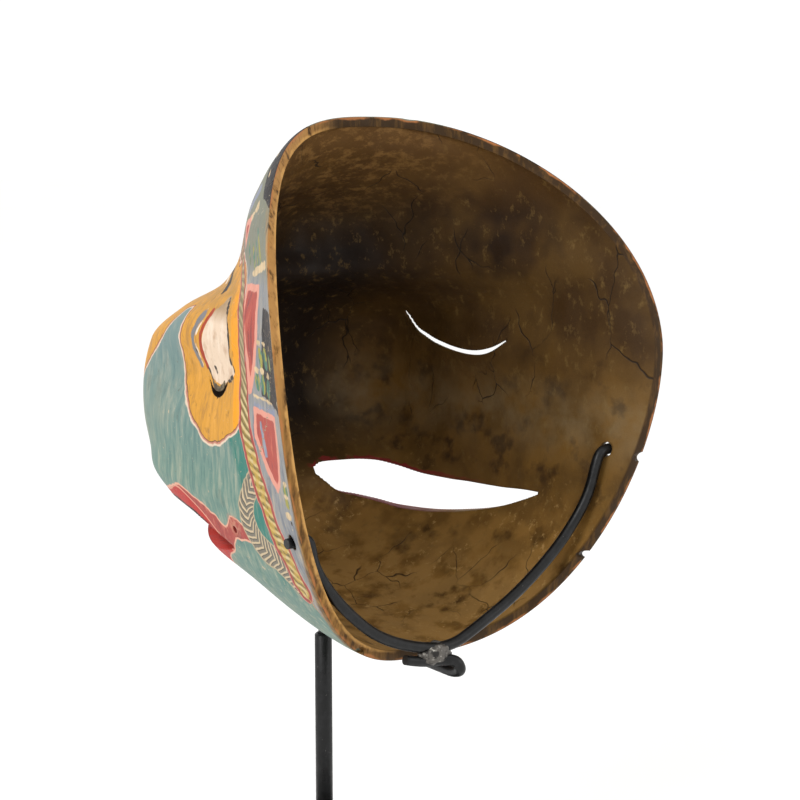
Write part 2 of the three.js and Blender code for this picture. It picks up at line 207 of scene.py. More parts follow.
def relief(p):
    """Carved relief of the front: nose and its wings, brow, lips, chin and eyeballs."""
    x, y, z = p[..., 0], p[..., 1], p[..., 2]
    turn = np.abs(np.degrees(np.arctan2(x, BRIDGE_Y - y)))
    lips = 4.5 * swell(z, -48, 8) + 5.5 * swell(z, -84, 8)
    return (through(NOSE, z) * swell(x, 0, 18 - z * 0.1)
            + 8 * swell(np.abs(x), 20, 9) * swell(z, -19, 10)
            + 5 * swell(np.abs(x), 36, 24) * swell(z, 51, 9)
            + lips * swell(turn / 62, 0, 1)
            + 6 * swell(turn, 57, 15) * swell(z, 22, 14)
            + 5 * swell(x, 0, 26) * swell(z, -104, 12))


def carved(points, depth, size, seed):
    """Tool marks: each point's small move outwards, from soft noise."""
    shift = Vector((seed, 2 * seed, 3 * seed))
    return np.array([depth * noise.noise(Vector(p) / size + shift) for p in points.reshape(-1, 3)])


outer, from_edge = skin_rows(WALL)
away = outer - [0, BRIDGE_Y, 0]
away[..., 2] = 0
away /= np.maximum(np.linalg.norm(away, axis=-1, keepdims=True), 1e-6)
raised = np.where(outer[..., 1] < BRIDGE_Y, relief(outer), 0)
inner, _ = skin_rows(0.0)
grain = carved(outer, 0.55, 26, 1).reshape(raised.shape) * np.clip(from_edge / 12, 0, 1)
outer = outer + away * (raised + grain)[..., None]
hollow = inner - [0, BRIDGE_Y, 0]
hollow[..., 2] = 0
hollow /= np.maximum(np.linalg.norm(hollow, axis=-1, keepdims=True), 1e-6)
gouge = carved(inner, 0.8, 15, 5).reshape(raised.shape) * np.clip(from_edge / 10, 0, 1)
inner = inner + hollow * gouge[..., None]

bm = bmesh.new()
shells = []
for skin in (outer, inner):
    made = bmesh.ops.create_grid(bm, x_segments=COLUMNS, y_segments=ROWS, size=1.0)["verts"]
    for v in made:
        i, j = round((1 - v.co.y) / 2 * ROWS), round((v.co.x + 1) / 2 * COLUMNS)
        v.co = skin[i, j]
    shells.append(made)
bmesh.ops.remove_doubles(bm, verts=bm.verts, dist=1e-5)
rim_edges = [e for e in bm.edges if e.is_boundary]
bmesh.ops.bridge_loops(bm, edges=rim_edges)
bmesh.ops.recalc_face_normals(bm, faces=bm.faces)
bmesh.ops.bevel(bm, geom=rim_edges, offset=0.9, segments=2, profile=0.5, affect="EDGES", material=-1,
                clamp_overlap=True)
shell = bpy.data.meshes.new("mask")
bm.to_mesh(shell)
bm.free()
mask = piece("mask", shell)

# The openings, cut straight through the wall: the mouth and the pit at its left corner, an eye slit
# each side, the cord holes and one old nail hole. With them go the chips that years of handling
# have knocked off the edge.
NEAR, FAR = 30, 230
RIGHT_HOLE, LEFT_HOLE, HOLE_RADIUS = Vector((-100, -23, -34)), Vector((100, -23, -57)), 3.7
CORNER_PIT, NAIL_HOLE = Vector((92, -84, -62.6)), Vector((93, -16, -46))
CHIPS = [((-101.5, -3.5, -37), (7, 5, 3.2)), ((-78, -19.5, -85.5), (5, 4, 1.7)),
         ((-22, -89, 129.5), (9, 6, 2.4)), ((104, -2, -37), (4, 4, 1.6)), ((49, -35, -116.5), (5, 4, 1.8))]
cutters = bmesh.new()


def wrap_cut(start, end, steps, span):
    """A cutter from NEAR to FAR of the upright bridge axis, with a low and a high edge at each angle."""
    strip = bmesh.ops.create_grid(cutters, x_segments=steps, y_segments=1, size=1.0)["verts"]
    faces = list({f for v in strip for f in v.link_faces})
    for v in strip:
        angle = start + (end - start) * (v.co.x + 1) / 2
        low, high = span(angle)
        turn = math.radians(angle)
        v.co = (NEAR * math.sin(turn), BRIDGE_Y - NEAR * math.cos(turn), high if v.co.y > 0 else low)
    grown = bmesh.ops.extrude_face_region(cutters, geom=faces)["geom"]
    for v in [g for g in grown if isinstance(g, bmesh.types.BMVert)]:
        v.co.x, v.co.y = v.co.x * FAR / NEAR, BRIDGE_Y + (v.co.y - BRIDGE_Y) * FAR / NEAR


# Upper and lower edges of the right and the left half of the mouth, by angle from the middle.
RIGHT_TOP = [(95, -62), (88, -62.3), (76, -63.7), (61, -64.5), (51, -65), (43, -64.4), (35, -61.3),
             (29.5, -59.1), (20, -58), (13.3, -58), (11, -59.6)]
RIGHT_LOW = [(95, -63.4), (89.3, -67.1), (77.9, -73.2), (64.6, -77.8), (49.4, -81), (36.6, -81),
             (30.4, -79.1), (23.8, -76.5), (18, -73.5), (14.7, -68.5), (11, -62.4)]
LEFT_TOP = [(75, -72), (67.5, -68.2), (60, -64.7), (52.5, -61.2), (37.5, -58.6), (15, -58), (11, -59.6)]
LEFT_LOW = [(75, -73.6), (67.5, -77), (52.5, -80.5), (37.5, -81), (24, -76.5), (15, -69.8), (11, -62.4)]
RIGHT_EYE = [(76, 14), (69.5, 8.5), (62.7, 5.8), (55.1, 6), (47.1, 8.7), (44.1, 11.1), (41, 14.8), (38, 24)]
LEFT_EYE = [(81, 7), (77.2, 2), (72.8, 0.5), (69, 2), (66, 6)]


def mouth(angle):
    """Lower and upper edge of the mouth at an angle, left half positive."""
    low, top = (LEFT_LOW, LEFT_TOP) if angle > 0 else (RIGHT_LOW, RIGHT_TOP)
    return float(through(low, abs(angle))), float(through(top, abs(angle)))


def eye_slit(angle):
    """Lower and upper edge of an eye slit, drawn to a point at both ends."""
    line = LEFT_EYE if angle > 0 else RIGHT_EYE
    middle = float(through(line, abs(angle)))
    share = (abs(angle) - line[-1][0]) / (line[0][0] - line[-1][0])
    half = 1.35 * (1 - 0.6 * abs(2 * share - 1) ** 5)
    return middle - half, middle + half


wrap_cut(-95, -11, 80, mouth)
wrap_cut(11, 75, 60, mouth)
wrap_cut(-76, -38, 56, eye_slit)
wrap_cut(66, 81, 24, eye_slit)


def drill(at, radius, direction):
    """A round hole bored along a direction."""
    bored = bmesh.ops.create_cone(cutters, cap_ends=True, segments=28, radius1=radius, radius2=radius,
                                  depth=60)["verts"]
    turn = Vector(direction).to_track_quat("Z", "Y").to_matrix()
    bmesh.ops.rotate(cutters, verts=bored, matrix=turn)
    bmesh.ops.translate(cutters, verts=bored, vec=at)


axle = (LEFT_HOLE - RIGHT_HOLE).normalized()
drill(RIGHT_HOLE, HOLE_RADIUS, axle)
drill(LEFT_HOLE, HOLE_RADIUS, axle)
drill(CORNER_PIT, 1.8, (1, 0, 0))
drill(NAIL_HOLE, 1.1, (1, -0.2, 0))
for at, size in CHIPS:
    chip = bmesh.ops.create_icosphere(cutters, subdivisions=3, radius=1.0)["verts"]
    bmesh.ops.scale(cutters, verts=chip, vec=size)
    bmesh.ops.translate(cutters, verts=chip, vec=at)
bmesh.ops.recalc_face_normals(cutters, faces=cutters.faces)
cut_mesh = bpy.data.meshes.new("openings")
cutters.to_mesh(cut_mesh)
cutters.free()
openings = piece("openings", cut_mesh)
cut = mask.modifiers.new("openings", "BOOLEAN")
cut.operation, cut.solver, cut.object = "DIFFERENCE", "EXACT", openings
cut.use_self = False
bpy.context.view_layer.update()
shell = bpy.data.meshes.new_from_object(mask.evaluated_get(bpy.context.evaluated_depsgraph_get()))
mask.modifiers.clear()
mask.data = shell
bpy.data.objects.remove(openings)

# Where each point of the cut shell lies on the carved skin, for laying out the painting.
half_rows = from_edge[:, COLUMNS // 2][:, None]
laid_out = np.stack([from_edge, half_rows - from_edge, np.ones_like(from_edge)], -1).reshape(-1, 3)
bare = laid_out * [1, 1, 0]
known = np.vstack([outer.reshape(-1, 3), inner.reshape(-1, 3)])
known_values = np.vstack([laid_out, bare])
finder = kdtree.KDTree(len(known))
for i, p in enumerate(known):
    finder.insert(p, i)
finder.balance()
co = np.array([v.co for v in shell.vertices])
values = np.zeros((len(co), 3))
for i, p in enumerate(co):
    found = finder.find_n(p, 3)
    weights = np.array([1 / (f[2] + 1e-4) for f in found])
    values[i] = weights @ known_values[[f[1] for f in found]] / weights.sum()
values[:, 2] = np.round(values[:, 2])
side_run, centre_run, on_skin = values.T
height = co[:, 2]
side = np.stack([side_run, height], 1)
front = np.stack([centre_run, height], 1)


def edge_gap(skin):
    """Distance of every point from the edge of a skin."""
    edge = np.vstack([skin[:, 0], skin[::-1, -1]])
    fine = np.vstack([np.linspace(a, b, 8, endpoint=False) for a, b in zip(edge, np.roll(edge, -1, 0))])
    near = kdtree.KDTree(len(fine))
    for i, p in enumerate(fine):
        near.insert(p, i)
    near.balance()
    return np.array([near.find(p)[2] for p in co])


def mark(name, numbers):
    """Stores a measure of each point for the paint to read."""
    layer = shell.attributes.new(name, "FLOAT", "POINT")
    layer.data.foreach_set("value", np.asarray(numbers, np.float32))


def drawn(points, closed=False, steps=8):
    """A freehand curve through a few points."""
    p = np.array(points, float)
    p = np.vstack([p[-1], p, p[0], p[1]]) if closed else np.vstack([2 * p[0] - p[1], p, 2 * p[-1] - p[-2]])
    t = np.linspace(0, 1, steps, endpoint=False)[:, None]
    line = [(2 * b + (c - a) * t + (2 * a - 5 * b + 4 * c - d) * t * t + (3 * b - a - 3 * c + d) * t**3) / 2
            for a, b, c, d in zip(p, p[1:], p[2:], p[3:])]
    return np.vstack(line + [p[-2][None]])


def beside(line, at):
    """Distance from a line, distance along it, and which side, for every point."""
    gap, run, hand, start = np.full(len(at), 1e6), np.zeros(len(at)), np.ones(len(at)), 0.0
    for a, b in zip(line, line[1:]):
        d = b - a
        length = math.hypot(*d)
        if length < 1e-6:
            continue
        t = np.clip((at - a) @ d / length**2, 0, 1)
        off = at - a - t[:, None] * d
        far = np.hypot(*off.T)
        closer = far < gap
        gap = np.where(closer, far, gap)
        run = np.where(closer, start + t * length, run)
        hand = np.where(closer, np.sign(d[0] * off[:, 1] - d[1] * off[:, 0]), hand)
        start += length
    return gap, run, hand


def area(shapes, at, smooth=False):
    """Distance from the nearest of several painted shapes, negative inside them."""
    best = np.full(len(at), 40.0)
    for points in shapes:
        line = drawn(points, True) if smooth else np.array(list(points) + [points[0]], float)
        near = np.all((at > line.min(0) - 12) & (at < line.max(0) + 12), 1)
        gap = beside(line, at[near])[0]
        x, y = at[near].T
        odd = np.zeros(len(x), bool)
        for (ax, ay), (bx, by) in zip(line, line[1:]):
            if ay != by:
                odd ^= ((ay > y) != (by > y)) & (x < ax + (bx - ax) * (y - ay) / (by - ay))
        best[near] = np.minimum(best[near], np.where(odd, -gap, gap))
    return best


def strokes(lines, at):
    """Distance from the nearest of several brush strokes."""
    return np.min([beside(drawn(line), at)[0] for line in lines], axis=0)


def blob(x, y, wide, tall):
    """A small oval touch of the brush."""
    return [(x + wide * math.cos(t), y + tall * math.sin(t)) for t in np.arange(0, 6.28, 0.9)]


# The painting, in millimetres: (distance in from the side edge, height) for the sides, and
# (distance from the middle line, height) for the front. Both halves match, apart from the mouth.
rope = [(13, -82), (17, -76), (21, -67), (32, -54), (39, -43), (47, -33), (55, -20), (61, -9), (63.5, 7),
        (62, 21), (59, 35), (62, 47), (73, 59), (95, 71), (120, 80), (142, 85), (170, 88)]
rope_gap, rope_run, rope_side = beside(drawn(rope), side)
mark("rope_across", rope_gap * rope_side)
mark("rope_along", rope_run)
eye_patch = [(62, 58), (60, 40), (60, 20), (62, 0), (66, -8), (77, -15), (90, -21), (101, -21.5),
             (112, -16), (126, -6), (135, 7), (133, 20), (130, 30), (128, 41), (112, 50), (96, 57),
             (80, 64), (72, 64)]
nose_patch = [(0, -44), (20, -42), (36, -30), (56, -12), (78, -3), (90, 4), (98, 13), (104, 22), (97, 31),
              (94, 38), (110, 44), (112, 54), (88, 62), (60, 66), (30, 64), (0, 57), (-30, 64), (-30, -40)]
mark("ochre", np.minimum(area([eye_patch], side, True), area([nose_patch], front, True)))
mark("eyeball", area([[(82, 47), (77, 38), (77.5, 28), (80, 19), (74, 13.5), (84, 8.5), (93, 5), (101, 6),
                       (108.5, 10), (110, 18), (108, 27), (103, 34), (97, 39), (90, 43)]], side, True))
mark("under_eye_shade", area([[(87, 8), (91, 1), (96, -1), (101, 1), (106, 7), (97, 5)]], side, True))
mark("lid_red", strokes([[(98, 39), (104, 34), (109, 27), (111, 18), (110, 12)]], side))
mark("lid_black", strokes([[(82, 46), (77, 38), (77, 28), (79.5, 19), (74, 13.5), (83, 8.5), (88, 5)],
                           [(97, 9), (101, 13)], [(109, 12), (104, 6)]], side))
mark("lash_grey", strokes([[(107, 37), (113, 33), (117, 26), (118, 18), (116, 12)]], side))
mark("lash_white", strokes([[(105.5, 35), (110.5, 31), (114.5, 25), (115, 18), (114, 10)]], side))
mark("lash_black", strokes([[(104, 36), (109, 31.5), (112.5, 27)], [(117, 20), (114.5, 14)]], side))
mark("brow", strokes([[(22, 47), (40, 54), (64, 57), (86, 54), (103, 47)]], front))
mark("brow_white", strokes([[(24, 43.5), (42, 50.5), (64, 53.5), (84, 50.5)]], front))

# The lips follow the mouth's edges round the face, by angle from the middle. Past the end of its
# shorter left half they rise to the pit at the corner.
LEFT_END, LIPS_END = 75, 95
turn = np.degrees(np.arctan2(co[:, 0], BRIDGE_Y - co[:, 1]))
on_left, swing = turn > 0, np.abs(turn)
u = np.minimum(swing / LIPS_END, 1)
top = np.where(on_left, through(LEFT_TOP, swing), through(RIGHT_TOP, swing))
low = np.where(on_left, through(LEFT_LOW, swing), through(RIGHT_LOW, swing))
past = np.clip((swing - LEFT_END) / 5, 0, 1)
top = np.where(on_left, top + 9 * past, top)
low = np.where(on_left, low + 8 * past, low)
thick = np.clip((swing - 42) / 12, 0, 1)
upper = top + (4 + 9 * thick * thick * (3 - 2 * thick)) * (1 - u**4) - 2 * swell(u, 0, 0.07)
lower = low - 12 * (1 - u**3) * np.where(on_left, 1 - 0.85 * np.clip((turn - 55) / 15, 0, 1), 1)
mark("lips", np.maximum(np.maximum(height - upper, lower - height), (swing - 90) * 1.5))
mark("lip_half", height - upper + 12 * np.clip((swing - 50) / 23, 0, 1))
mark("mouth_top", height - top)
mark("mouth_low", low - height)
mark("aside", co[:, 0])
mark("turned", turn)
mark("corner_gap", np.linalg.norm(co - [90, -84, -61.5], axis=1))

red_panels = [[(57, 54), (31, 56), (38, 35), (47, 20), (54, 7), (57, 7)],
              [(51, 1), (20, 1), (18, -14), (19, -28), (23, -34), (33, -28), (41, -21), (50, -12)]]
forehead_marks = [[(0, 94), (15, 94), (0, 119), (-15, 94)], [(44, 92), (68, 87), (66, 108)],
                  [(96, 79), (114, 70), (124, 86)]]
mark("red_panel", np.minimum(area(red_panels, side), area(forehead_marks, front)))
mark("dark_panel", area([[(24, 47), (6, 47), (4, 20), (6, 4), (40, 8), (36, 24)],
                         [(0, 90), (11, 94), (14, 108), (10, 125), (-6, 125), (-6, 92)]], side))
mark("green_touch", np.minimum(area(
    [blob(*b) for b in ((37, 25, 3, 5), (29, 25, 3, 5.5), (22, 24, 2.4, 5), (44, 13, 3, 4.6),
                        (36, 13, 3, 5), (28, 12, 3, 5), (12, -31, 4, 3), (11, -37, 3.4, 2.4),
                        (40, 66, 2, 7), (30, 70, 2, 8), (22, 73, 2, 8), (52, 68, 2, 6),
                        (66, 76, 7, 4), (80, 84, 7, 3.4))], side, True),
    area([blob(27, 103, 4, 9), blob(86, 92, 4, 8), blob(27, 77, 7, 2.4), blob(52, 76, 7, 2.4)],
         front, True)))
mark("blue_bar", area([[(52, 4.2), (18, 4.2), (18, 1.4), (52, 1.4)],
                       [(45, -5), (42, -4), (34, -19), (37, -21)],
                       [(62, 88), (20, 100), (20, 96), (60, 84)]], side))
mark("cream_touch", np.minimum(area(
    [blob(*b) for b in ((37, 31, 3.6, 1.5), (29, 31.5, 3.6, 1.5), (21, 30.5, 3, 1.4), (44, 18.5, 3.6, 1.4),
                        (36, 18.8, 3.8, 1.5), (28, 18, 3.6, 1.5), (9, 9, 2, 1.6), (12, -28, 4, 1),
                        (12, -34, 4, 1), (11, -43, 5, 1.5), (8, 104, 1.2, 2), (8, 113, 1.2, 1.8))],
    side, True),
    area([[(52, 7.2), (22, 7), (22, 4.8), (52, 4.8)], [(48, 57.6), (47, 61), (6, 68.5), (8, 65)],
          [(46, 84), (20, 92), (20, 89.6), (44, 81.6)]], side)))
petals = [blob(58 + 7.5 * math.cos(t), -34 + 7.5 * math.sin(t), 2.3, 2.3)
          for t in np.arange(0, 6.2, math.tau / 6)]
mark("dots", area([blob(0, 73, 2.4, 2.4), blob(9, 72, 1.6, 1.6), blob(-9, 72, 1.6, 1.6),
                   blob(17, 71, 1.2, 1.2)] + petals, front, True))
mark("bud", area([blob(58, -34, 3.1, 3.1), blob(0, 108, 2.4, 3.4), blob(14, -35, 4.6, 2.6)], front, True))
plume = [(54, -36), (59, -45), (58, -55), (51, -63), (42, -68), (32, -71), (22, -76), (14, -81)]
plume_gap, plume_run, plume_side = beside(drawn(plume), side)
mark("plume_across", plume_gap * plume_side)
mark("plume_along", plume_run)
mark("on_skin", on_skin)
mark("rim_gap", edge_gap(outer))
mark("arris_gap", edge_gap(inner))
mark("cheek", centre_run)

painted, tree = material("painted gesso on carved wood")
place = add(tree, "TexCoord", out=3)


def speckle(size, detail=3.0, stretch=(1, 1, 1), roughness=0.55, seed=0.0):
    """Soft noise with patches of about this many millimetres."""
    at = add(tree, "Mapping", {"Vector": place, "Scale": stretch, "Location": (seed, seed, seed)})
    return add(tree, "TexNoise", {"Vector": at, "Scale": 1000 / size, "Detail": detail,
                                  "Roughness": roughness})


unsteady, tremor = speckle(9, 2), speckle(2.2, 2, seed=3)
wobble = add(tree, "Math", {
    0: add(tree, "MapRange", {0: unsteady, 1: 0.3, 2: 0.7, 3: -0.75, 4: 0.75}),
    1: add(tree, "MapRange", {0: tremor, 1: 0.3, 2: 0.7, 3: -0.12, 4: 0.12})}, operation="ADD")


def spread(*marks):
    """How much of a coat shows, where all of its marks meet. A mark is already such an amount, or it
    is a measure with the value where the coat starts and the value where it is full."""
    amount = None
    for shown in marks:
        if isinstance(shown, tuple):
            value, start, full = shown
            shown = add(tree, "MapRange", {0: value, 1: start, 2: full})
        if amount is None:
            amount = shown
        else:
            amount = add(tree, "Math", {0: amount, 1: shown}, operation="MULTIPLY")
    return amount


def measure(name, by_hand=True):
    """A stored measure, unsteadied as a brush line is."""
    value = add(tree, "Attribute", out=2, attribute_name=name)
    return add(tree, "Math", {0: value, 1: wobble}, operation="ADD") if by_hand else value


def inside(value, limit, soft=0.22):
    """1 where the measure is under a limit."""
    return add(tree, "MapRange", {0: value, 1: limit - soft, 2: limit + soft, 3: 1.0, 4: 0.0})


def band(value, centre, half, soft=0.22):
    """1 within half of a centre value."""
    away_from = add(tree, "Math", {0: value, 1: centre}, operation="SUBTRACT")
    return inside(add(tree, "Math", {0: away_from}, operation="ABSOLUTE"), half, soft)


def over(under, colour, cover, strength=1.0):
    """Lays one coat of paint over another."""
    amount = spread(cover) if strength == 1.0 else spread(cover, strength)
    if isinstance(colour, str):
        colour = linear(colour)
    return add(tree, "MixRGB", {0: amount, 1: under, 2: colour})


streak = speckle(3.2, 4, (1, 1, 0.16), 0.65)
broad = speckle(26, 3, (1, 1, 0.5), seed=7)
height_m = add(tree, "SeparateXYZ", {0: place}, out=2)
across, along = measure("rope_across"), measure("rope_along", False)
ochre, side_gap, skin = measure("ochre"), measure("rim_gap"), measure("on_skin", False)
cheek = measure("cheek", False)
lips, lip_half = measure("lips"), measure("lip_half", False)

# Teal cheeks, thin and chalky where hands and cloth have rubbed them, deep beside the border.
teal = over(over(linear("#6f9794"), "#a3b5ab", (streak, 0.48, 0.68)), "#527f80", (streak, 0.46, 0.3))
teal = over(teal, "#7895a6", (height_m, 0.24, 0.3), 0.5)
teal = over(teal, "#b7b7a6", spread((broad, 0.42, 0.66), (cheek, 150, 40)), 0.75)
near_rope = spread((across, -20, -17), (height_m, 0.292, 0.282), (height_m, 0.19, 0.215))
teal = over(teal, "#23807a", spread(near_rope, (streak, 0.85, 0.4)), 0.95)
brow_field = spread((height_m, 0.338, 0.342), (ochre, 0.0, 1.0))
coats = over(teal, over(linear("#66705a"), "#8a8a66", (streak, 0.45, 0.65)), brow_field)

# The border field between the rope and the edge.
field = over(over(linear("#8f9aa6"), "#b3b3ae", (streak, 0.5, 0.7)), "#66738a", (streak, 0.48, 0.32))
field = over(field, "#7c8676", (height_m, 0.336, 0.346), 0.8)
coats = over(coats, field, (across, -0.3, 0.3))
dark = measure("dark_panel")
coats = over(coats, over(linear("#2c2b30"), "#5b5c58", (speckle(1.6, 3), 0.56, 0.7)), inside(dark, 0.0))
green = over(over(linear("#4f8478"), "#a2a44e", (speckle(3.4, 1, (1, 1, 0.4)), 0.48, 0.54)), "#2e5a55",
             (streak, 0.42, 0.34))
coats = over(coats, green, inside(measure("green_touch"), 0.0))
red = measure("red_panel")
brick = over(over(linear("#b3544d"), "#8a3c3b", (streak, 0.47, 0.36)), "#cf7d70", (streak, 0.56, 0.68))
coats = over(coats, "#e3a59a", inside(red, 0.7))
coats = over(coats, brick, inside(red, -2.6))
coats = over(coats, over(linear("#8796b6"), "#a9b2bf", (streak, 0.5, 0.66)),
             inside(measure("blue_bar"), 0.0))
cream = over(linear("#ddcfae"), "#b9a988", (streak, 0.5, 0.36))
coats = over(coats, cream, inside(measure("cream_touch"), 0.0))

# Ochre round the eyes, over the brow and on the nose, edged with a white, a rose and a black line.
gold = over(over(linear("#d8a43c"), "#b88c3c", (streak, 0.5, 0.34)), "#e3b055", (streak, 0.52, 0.7))
gold = over(gold, "#f4ac10", spread((across, -13.5, -12), (height_m, 0.345, 0.325)), 0.95)
gold = over(gold, "#a58848", spread((height_m, 0.312, 0.33), (speckle(7, 3), 0.35, 0.6)), 0.75)
gold = over(gold, "#8a6a34", (speckle(5, 5, seed=4), 0.6, 0.7), 0.5)
coats = over(coats, "#e6dccf", inside(ochre, 2.3))
coats = over(coats, "#c98f80", inside(ochre, 1.25))
coats = over(coats, "#4a3a30", inside(ochre, 0.35))
coats = over(coats, gold, inside(ochre, -0.1))
ball = measure("eyeball")
white = over(over(linear("#e8dccd"), "#cdb9a6", (speckle(6, 3), 0.5, 0.7)), "#f2ebe2",
             (streak, 0.5, 0.65))
# Painted shade: the top of the eyeball turns tan.
white = over(white, "#b39f82", (height_m, 0.314, 0.321))
coats = over(coats, white, inside(ball, 0.0))
# A dark olive crescent painted round the short left slit: painted shade of the opening.
coats = over(coats, over(linear("#4b4230"), "#8c8468", (speckle(2.5, 2), 0.5, 0.6)),
             inside(measure("under_eye_shade"), 0.0))
coats = over(coats, "#a8401f", inside(measure("lid_red"), 1.7))
coats = over(coats, "#7f8590", inside(measure("lash_grey"), 1.9))
coats = over(coats, "#efeae0", inside(measure("lash_white"), 0.75))
coats = over(coats, "#3c352c", inside(measure("lash_black"), 0.5))
coats = over(coats, "#3a3128", inside(measure("lid_black"), 0.8))
coats = over(coats, "#efe6d8", inside(measure("brow_white"), 0.8))
coats = over(coats, "#2b2622", inside(measure("brow"), 1.5))
coats = over(coats, cream, inside(measure("dots"), 0.0))
coats = over(coats, "#9c4338", inside(measure("bud"), 0.0))

# Lips: dull rose above, clear red below, parted and edged by a pale line, dark along the opening.
rose = over(over(linear("#ab4f4c"), "#cf8a7e", (streak, 0.54, 0.7)), "#853838", (streak, 0.46, 0.34))
scarlet = over(over(linear("#bd2f28"), "#c94b38", (streak, 0.58, 0.72)), "#84262c", (streak, 0.42, 0.3))
coats = over(coats, "#e6b7a6", inside(lips, 1.1))
coats = over(coats, over(scarlet, rose, (lip_half, -0.4, 0.4)), inside(lips, 0.0))
coats = over(coats, "#e3a898", spread(band(lip_half, 0.0, 0.55), inside(lips, 0.0)))
coats = over(coats, "#2a120e", spread(band(measure("mouth_top"), 0.4, 0.9),
                                      inside(measure("turned", False), 62, 4)))
coats = over(coats, "#c98f7c", spread(inside(measure("corner_gap"), 6.5, 1.5), (speckle(3), 0.4, 0.55)),
             0.8)
# A dark disc painted round the pit at the mouth's corner: painted shade of the hole.
coats = over(coats, "#2a1410", inside(measure("corner_gap"), 3.4))

# A herringbone plume below the rope, then the twisted rope itself between two red lines. BARB is the
# pitch of the plume's barbs and LAY the pitch of the rope's strands, in millimetres.
BARB, LAY = 3.6, 5.2
plume_across, plume_along = measure("plume_across"), measure("plume_along", False)
plume_width = add(tree, "Math", {0: plume_across}, operation="ABSOLUTE")
slant = add(tree, "Math", {0: plume_width, 1: 0.8, 2: plume_along}, operation="MULTIPLY_ADD")
barb = add(tree, "Math", {0: add(tree, "Math", {0: slant, 1: BARB}, operation="DIVIDE")}, operation="FRACT")
feather = over(linear("#7b7d77"), "#d2c8ae", band(barb, 0.5, 0.17, 0.08))
feather = over(feather, "#3f3e3a", band(barb, 0.78, 0.05, 0.04))
coats = over(coats, "#b9b39d", inside(plume_width, 6.9))
coats = over(coats, feather, inside(plume_width, 6.1))
turns = add(tree, "Math", {0: along, 1: across}, operation="ADD")
twist = add(tree, "Math", {0: add(tree, "Math", {0: turns, 1: LAY}, operation="DIVIDE")}, operation="FRACT")
strand = over(linear("#8f8351"), "#d8cda2", band(twist, 0.4, 0.2, 0.08))
strand = over(strand, "#4f4a32", band(twist, 0.83, 0.05, 0.04))
strand = over(strand, "#c9b04e", spread((height_m, 0.275, 0.255), (speckle(4, 2), 0.4, 0.55)), 0.7)
strand = over(strand, "#8d8977", (height_m, 0.28, 0.3), 0.6)
rope_width = spread(add(tree, "Math", {0: across}, operation="ABSOLUTE"),
                    add(tree, "MapRange", {0: height_m, 1: 0.27, 2: 0.305, 3: 0.95, 4: 1.4}))
coats = over(coats, "#d99a8f", inside(rope_width, 6.3))
coats = over(coats, "#a44a48", inside(rope_width, 5.8))
coats = over(coats, strand, inside(rope_width, 3.9))

# Bare wood: the edge, the wall of every opening, and the hollow, dark with smoke, sweat and oil.
# The hollow also carries painted shadow, darkest in the middle and on the left, and painted light
# towards the lower right.
aside = measure("aside", False)
timber = over(over(linear("#38270f"), "#4d3a1b", (speckle(38, 4), 0.42, 0.62)), "#241708",
              (speckle(55, 3, seed=9), 0.45, 0.32))
# Painted light: the lower right of the hollow is lighter and warmer.
lit_lower_right = over(over(linear("#57421f"), "#6b5228", (speckle(24, 5, seed=31), 0.42, 0.6)), "#3c2a10",
             (speckle(17, 5, seed=32), 0.46, 0.34))
timber = over(timber, lit_lower_right, spread((height_m, 0.3, 0.262), (aside, -25, -62)), 0.9)
# The hollow is paler towards the bottom.
paler_low = over(over(linear("#6d5329"), "#86693a", (speckle(14, 5, seed=33), 0.42, 0.6)), "#4a3616",
             (speckle(20, 5, seed=34), 0.46, 0.34))
timber = over(timber, paler_low, (height_m, 0.225, 0.2))
shadow = spread((aside, -70, -30), (height_m, 0.215, 0.25), (height_m, 0.38, 0.34))
timber = over(timber, "#120802", shadow, 0.93)
timber = over(timber, "#6a5836", (speckle(5, 5, (1, 1, 0.7), 0.7, 2), 0.56, 0.72), 0.7)
# Painted sheen: a grey band across the hollow above the mouth.
painted_sheen = spread(band(height_m, 0.256, 0.012, 0.012), (speckle(16, 3), 0.36, 0.6), (aside, -30, -55))
timber = over(timber, "#756c5c", painted_sheen, 0.45)
low_and_right = spread((height_m, 0.235, 0.19), (speckle(30, 2, seed=1), 0.42, 0.55))
timber = over(timber, "#b09669",
              spread((speckle(4, 6, roughness=0.78, seed=6), 0.56, 0.62), low_and_right), 0.85)
crown = spread((height_m, 0.35, 0.385), (speckle(9, 6, (1, 1, 2), 0.75, 8), 0.5, 0.62))
timber = over(timber, "#8d7048", spread(crown, (aside, -70, -20)), 0.7)
timber = over(timber, "#694c27", (height_m, 0.36, 0.4), 0.5)
rubbed = spread((height_m, 0.196, 0.172), (speckle(12, 4, seed=35), 0.38, 0.52))
timber = over(timber, "#a08355", rubbed, 0.7)
wander = add(tree, "TexNoise", {"Vector": place, "Scale": 60.0}, out=1)
wandering = add(tree, "MixRGB", {0: 0.012, 1: place, 2: wander})
lengthwise = add(tree, "Mapping", {"Vector": wandering, "Scale": (1, 1, 0.45)})
crack = add(tree, "TexVoronoi", {"Vector": lengthwise, "Scale": 42.0}, feature="DISTANCE_TO_EDGE")
cracked = spread((crack, 0.012, 0.003), (speckle(45, 1, seed=12), 0.54, 0.6))
timber = over(timber, "#120b05", cracked, 0.85)
